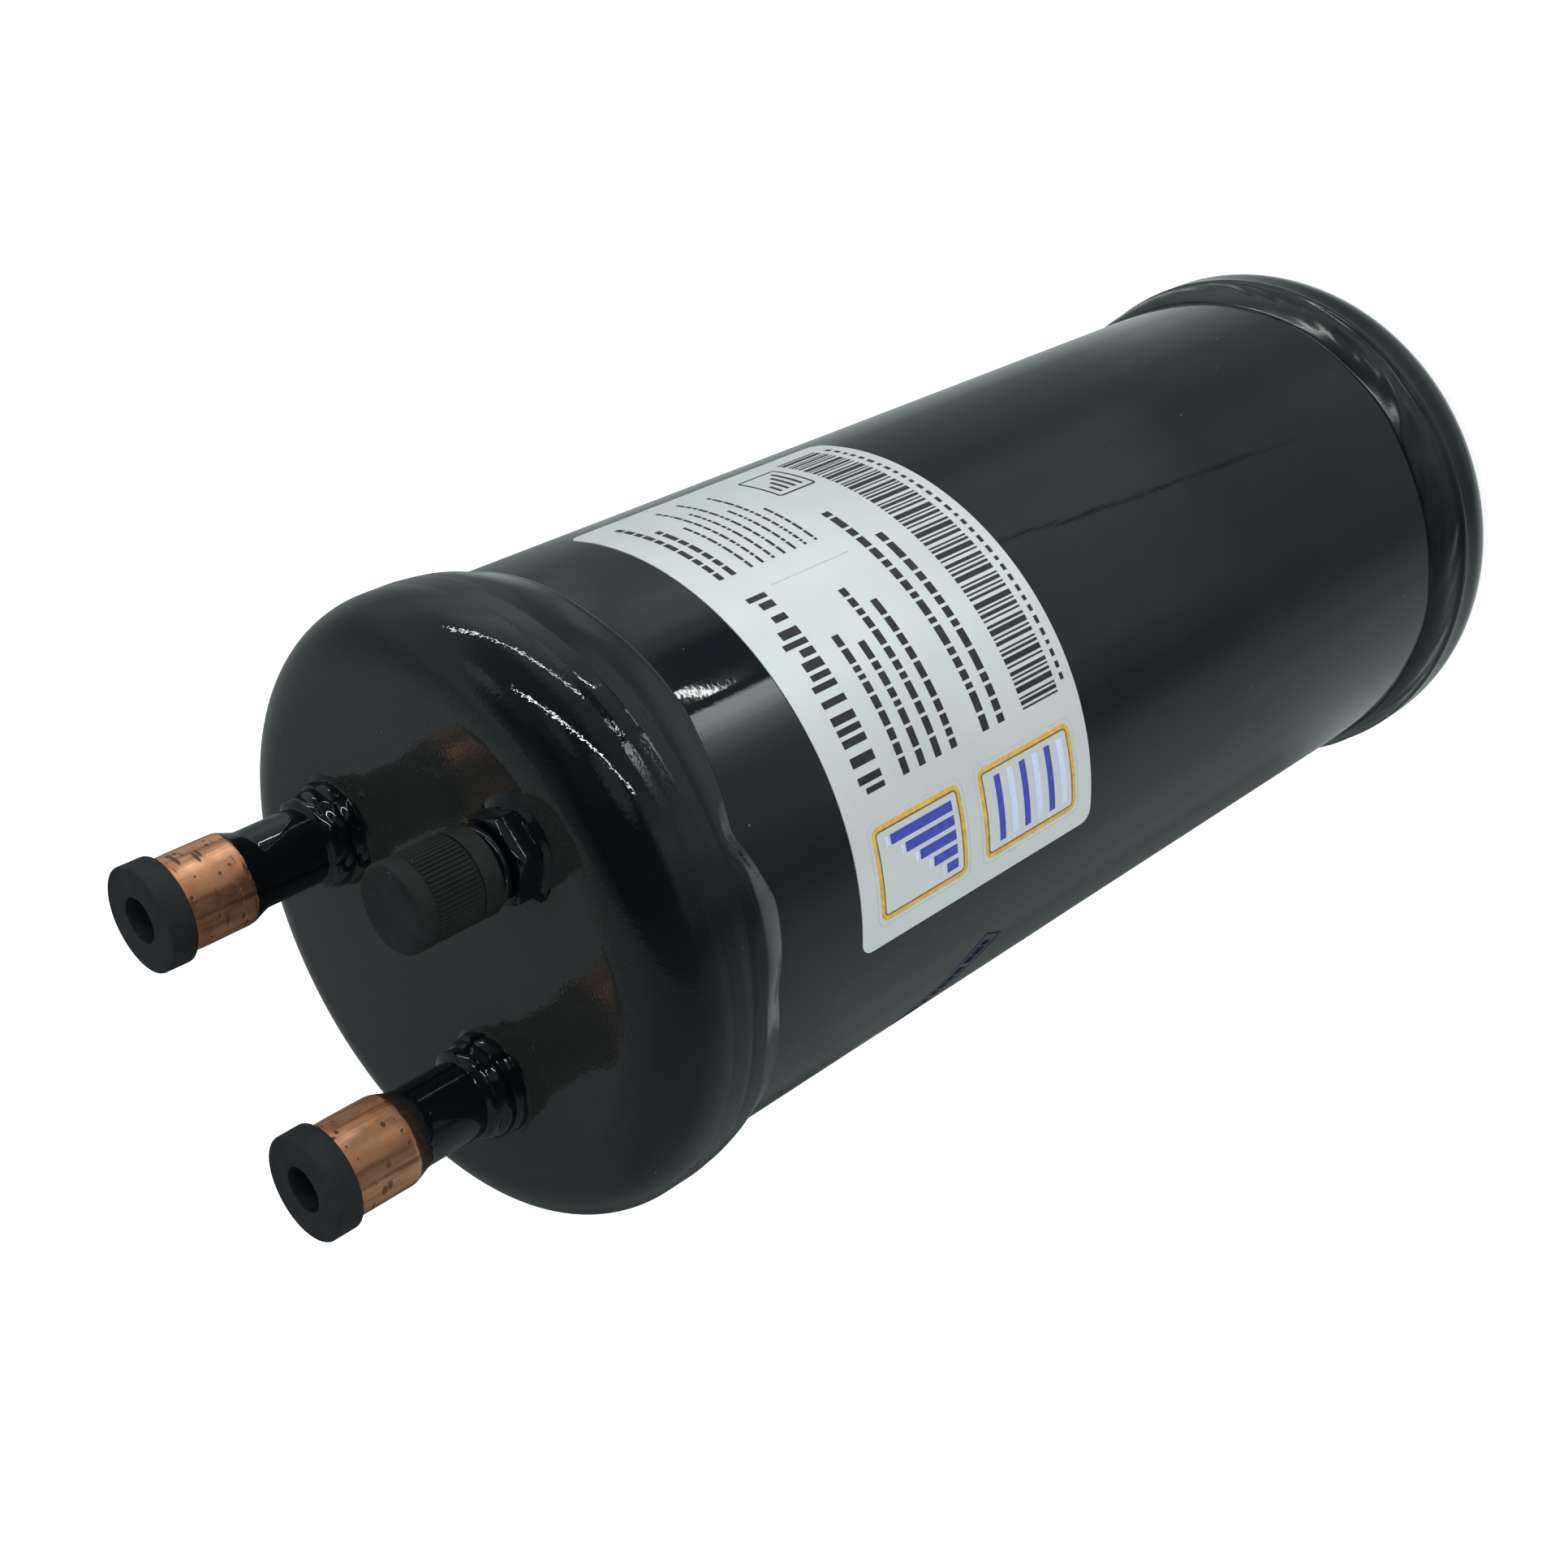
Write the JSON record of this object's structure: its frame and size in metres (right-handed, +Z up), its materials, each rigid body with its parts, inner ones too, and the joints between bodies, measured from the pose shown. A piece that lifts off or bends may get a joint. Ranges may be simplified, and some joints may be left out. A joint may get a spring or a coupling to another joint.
{
  "type": "refrigeration oil separator",
  "caption": "Upright welded steel vessel that spins oil out of refrigerant gas with an inner helix; a float valve returns the oil through a flare fitting on top.",
  "frame": {"origin": "middle of the flat underside, on the vessel's axis", "axes": "+Z up along the vessel's axis towards the connections, -Y towards the oil return fitting and the label"},
  "size_m": [0.1072, 0.1072, 0.2802],
  "materials": {
    "black_enamel": "gloss black enamel on steel",
    "copper": "satin bare copper",
    "plug_rubber": "matt moulded rubber",
    "cap_plastic": "matt moulded plastic",
    "label_film": "silvery satin label film",
    "bare_steel": "bare oiled steel",
    "brass": "machined brass",
    "magnet_iron": "sintered, bare"
  },
  "bodies": {
    "vessel": {"shell": "black_enamel", "top_cap": "black_enamel", "bottom_cap": "black_enamel", "top_seam_weld": "black_enamel", "bottom_seam_weld": "black_enamel", "inlet_stub": "copper", "outlet_stub": "copper", "inlet_stub_weld": "black_enamel", "outlet_stub_weld": "black_enamel", "oil_return_fitting": "black_enamel", "fitting_braze": "black_enamel", "label": "label_film", "outlet_pipe": "bare_steel", "helix": "bare_steel", "screen_liner": "bare_steel", "inlet_ring": "bare_steel", "exit_screen": "bare_steel", "baffle_plate": "bare_steel", "oil_return_tube": "copper", "float_bracket": "bare_steel", "valve_block": "brass", "float_pin": "bare_steel", "pin_clips": "bare_steel", "magnet": "magnet_iron", "magnet_holder": "bare_steel"},
    "inlet_plug": {"inlet_plug": "plug_rubber"},
    "outlet_plug": {"outlet_plug": "plug_rubber"},
    "seal": {"cap_seal": "plug_rubber"},
    "flare_cap": {"fitting_cap": "cap_plastic"},
    "float": {"float_arm": "bare_steel", "float_upper_half": "bare_steel", "float_lower_half": "bare_steel"},
    "needle": {"needle": "bare_steel"}
  },
  "joints": [
    {"name": "inlet_plug_pull", "type": "slide", "parent": "vessel", "child": "inlet_plug", "axis": [0, 0, 1], "range_m": [0, 0.03]},
    {"name": "outlet_plug_pull", "type": "slide", "parent": "vessel", "child": "outlet_plug", "axis": [0, 0, 1], "range_m": [0, 0.03]},
    {"name": "cap_lift", "type": "slide", "parent": "vessel", "child": "seal", "axis": [0, 0, 1], "range_m": [0, 0.0127]},
    {"name": "cap_turn", "type": "hinge", "parent": "seal", "child": "flare_cap", "pos_m": [0, -0.033, 0.2588], "axis": [0, 0, 1], "range_deg": [0, 3600]},
    {"name": "float_swing", "type": "hinge", "parent": "vessel", "child": "float", "pos_m": [0, -0.02, 0.014], "axis": [1, 0, 0], "range_deg": [0, 15]},
    {"name": "needle_drop", "type": "slide", "parent": "vessel", "child": "needle", "axis": [0, 0, -1], "range_m": [0, 0.00341]}
  ],
  "couplings": [
    {"joint": "cap_turn", "follows": "cap_lift", "rad_per_m": 4947.4},
    {"joint": "needle_drop", "follows": "float_swing", "m_per_rad": 0.013}
  ]
}
